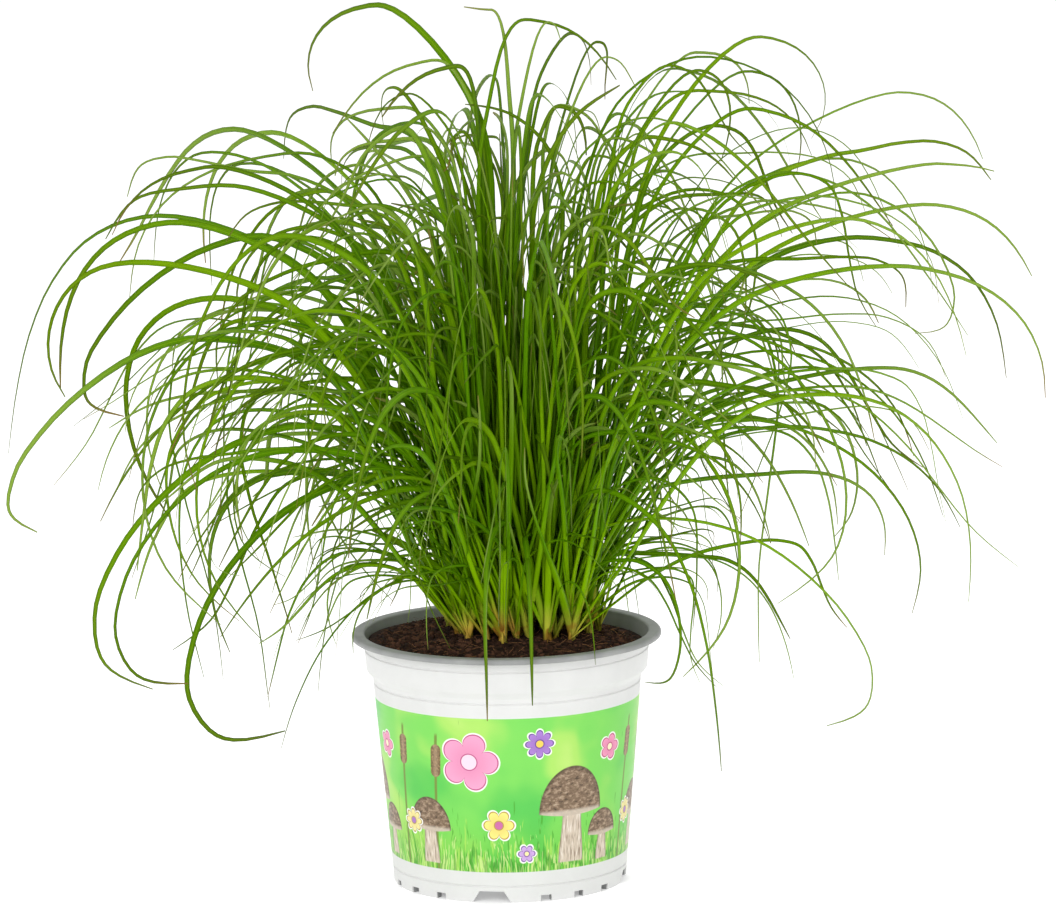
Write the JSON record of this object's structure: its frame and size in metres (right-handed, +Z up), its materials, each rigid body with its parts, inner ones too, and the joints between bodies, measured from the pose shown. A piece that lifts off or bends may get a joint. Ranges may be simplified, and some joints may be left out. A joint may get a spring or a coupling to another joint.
{
  "type": "potted umbrella sedge",
  "caption": "Grass-like tuft of arching sedge shoots in peat, in a round tapered plastic nursery pot with a stepped collar, rolled rim and notched foot.",
  "frame": {"origin": "middle of the pot's foot, on the surface that the pot stands on", "axes": "+Z up along the pot's axis, X along the widest spread of the leaves, -Y towards the front"},
  "size_m": [0.4023, 0.347, 0.34],
  "materials": {
    "pot_plastic": "satin",
    "peat": "matte",
    "leaf": "satin"
  },
  "bodies": {
    "root": {"pot": "pot_plastic", "soil": "peat", "shoot_01": "leaf", "shoot_02": "leaf", "shoot_03": "leaf", "shoot_04": "leaf", "shoot_05": "leaf", "shoot_06": "leaf", "shoot_07": "leaf", "shoot_08": "leaf", "shoot_09": "leaf", "shoot_10": "leaf", "shoot_11": "leaf", "shoot_12": "leaf", "shoot_13": "leaf", "shoot_14": "leaf", "shoot_15": "leaf", "shoot_16": "leaf", "shoot_17": "leaf", "shoot_18": "leaf", "shoot_19": "leaf", "shoot_20": "leaf", "shoot_21": "leaf", "shoot_22": "leaf", "shoot_23": "leaf", "shoot_24": "leaf", "shoot_25": "leaf", "shoot_26": "leaf", "shoot_27": "leaf", "shoot_28": "leaf", "shoot_29": "leaf", "shoot_30": "leaf", "shoot_31": "leaf", "shoot_32": "leaf", "shoot_33": "leaf", "shoot_34": "leaf", "shoot_35": "leaf", "shoot_36": "leaf", "shoot_37": "leaf", "shoot_38": "leaf", "shoot_39": "leaf", "shoot_40": "leaf", "shoot_41": "leaf", "shoot_42": "leaf", "shoot_43": "leaf", "shoot_44": "leaf", "shoot_45": "leaf", "shoot_46": "leaf", "shoot_47": "leaf", "shoot_48": "leaf", "shoot_49": "leaf", "shoot_50": "leaf", "shoot_51": "leaf", "shoot_52": "leaf", "shoot_53": "leaf", "shoot_54": "leaf", "shoot_55": "leaf", "shoot_56": "leaf"}
  },
  "joints": []
}
